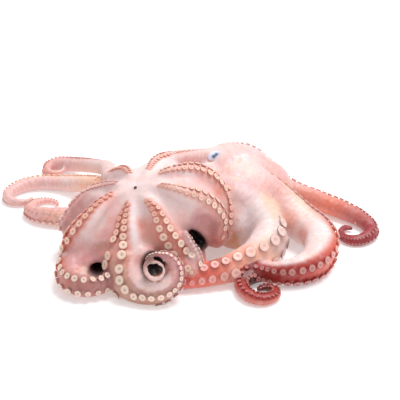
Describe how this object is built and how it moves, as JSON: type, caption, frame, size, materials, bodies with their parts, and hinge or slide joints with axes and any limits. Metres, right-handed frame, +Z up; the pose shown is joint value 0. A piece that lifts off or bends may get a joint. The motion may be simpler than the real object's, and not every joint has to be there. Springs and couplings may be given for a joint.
{
  "type": "whole octopus",
  "caption": "Whole raw octopus laid out on its web, mouth up, with the arms curling around the domed arm ring and the head behind it.",
  "frame": {"origin": "on the table, under the middle of the octopus's length and depth", "axes": "+X along the longest extent, towards the hooked arm tip on the animal's right side of the view; -Y is the front, where two arms are rolled up; +Z up"},
  "size_m": [0.469, 0.3486, 0.119],
  "materials": {
    "skin": "wet, soft, translucent skin",
    "sucker": "wet, pale sucker discs",
    "eye": "cloudy, wet eye",
    "beak": "dark horn"
  },
  "bodies": {
    "root": {"octopus": "skin"}
  },
  "joints": []
}
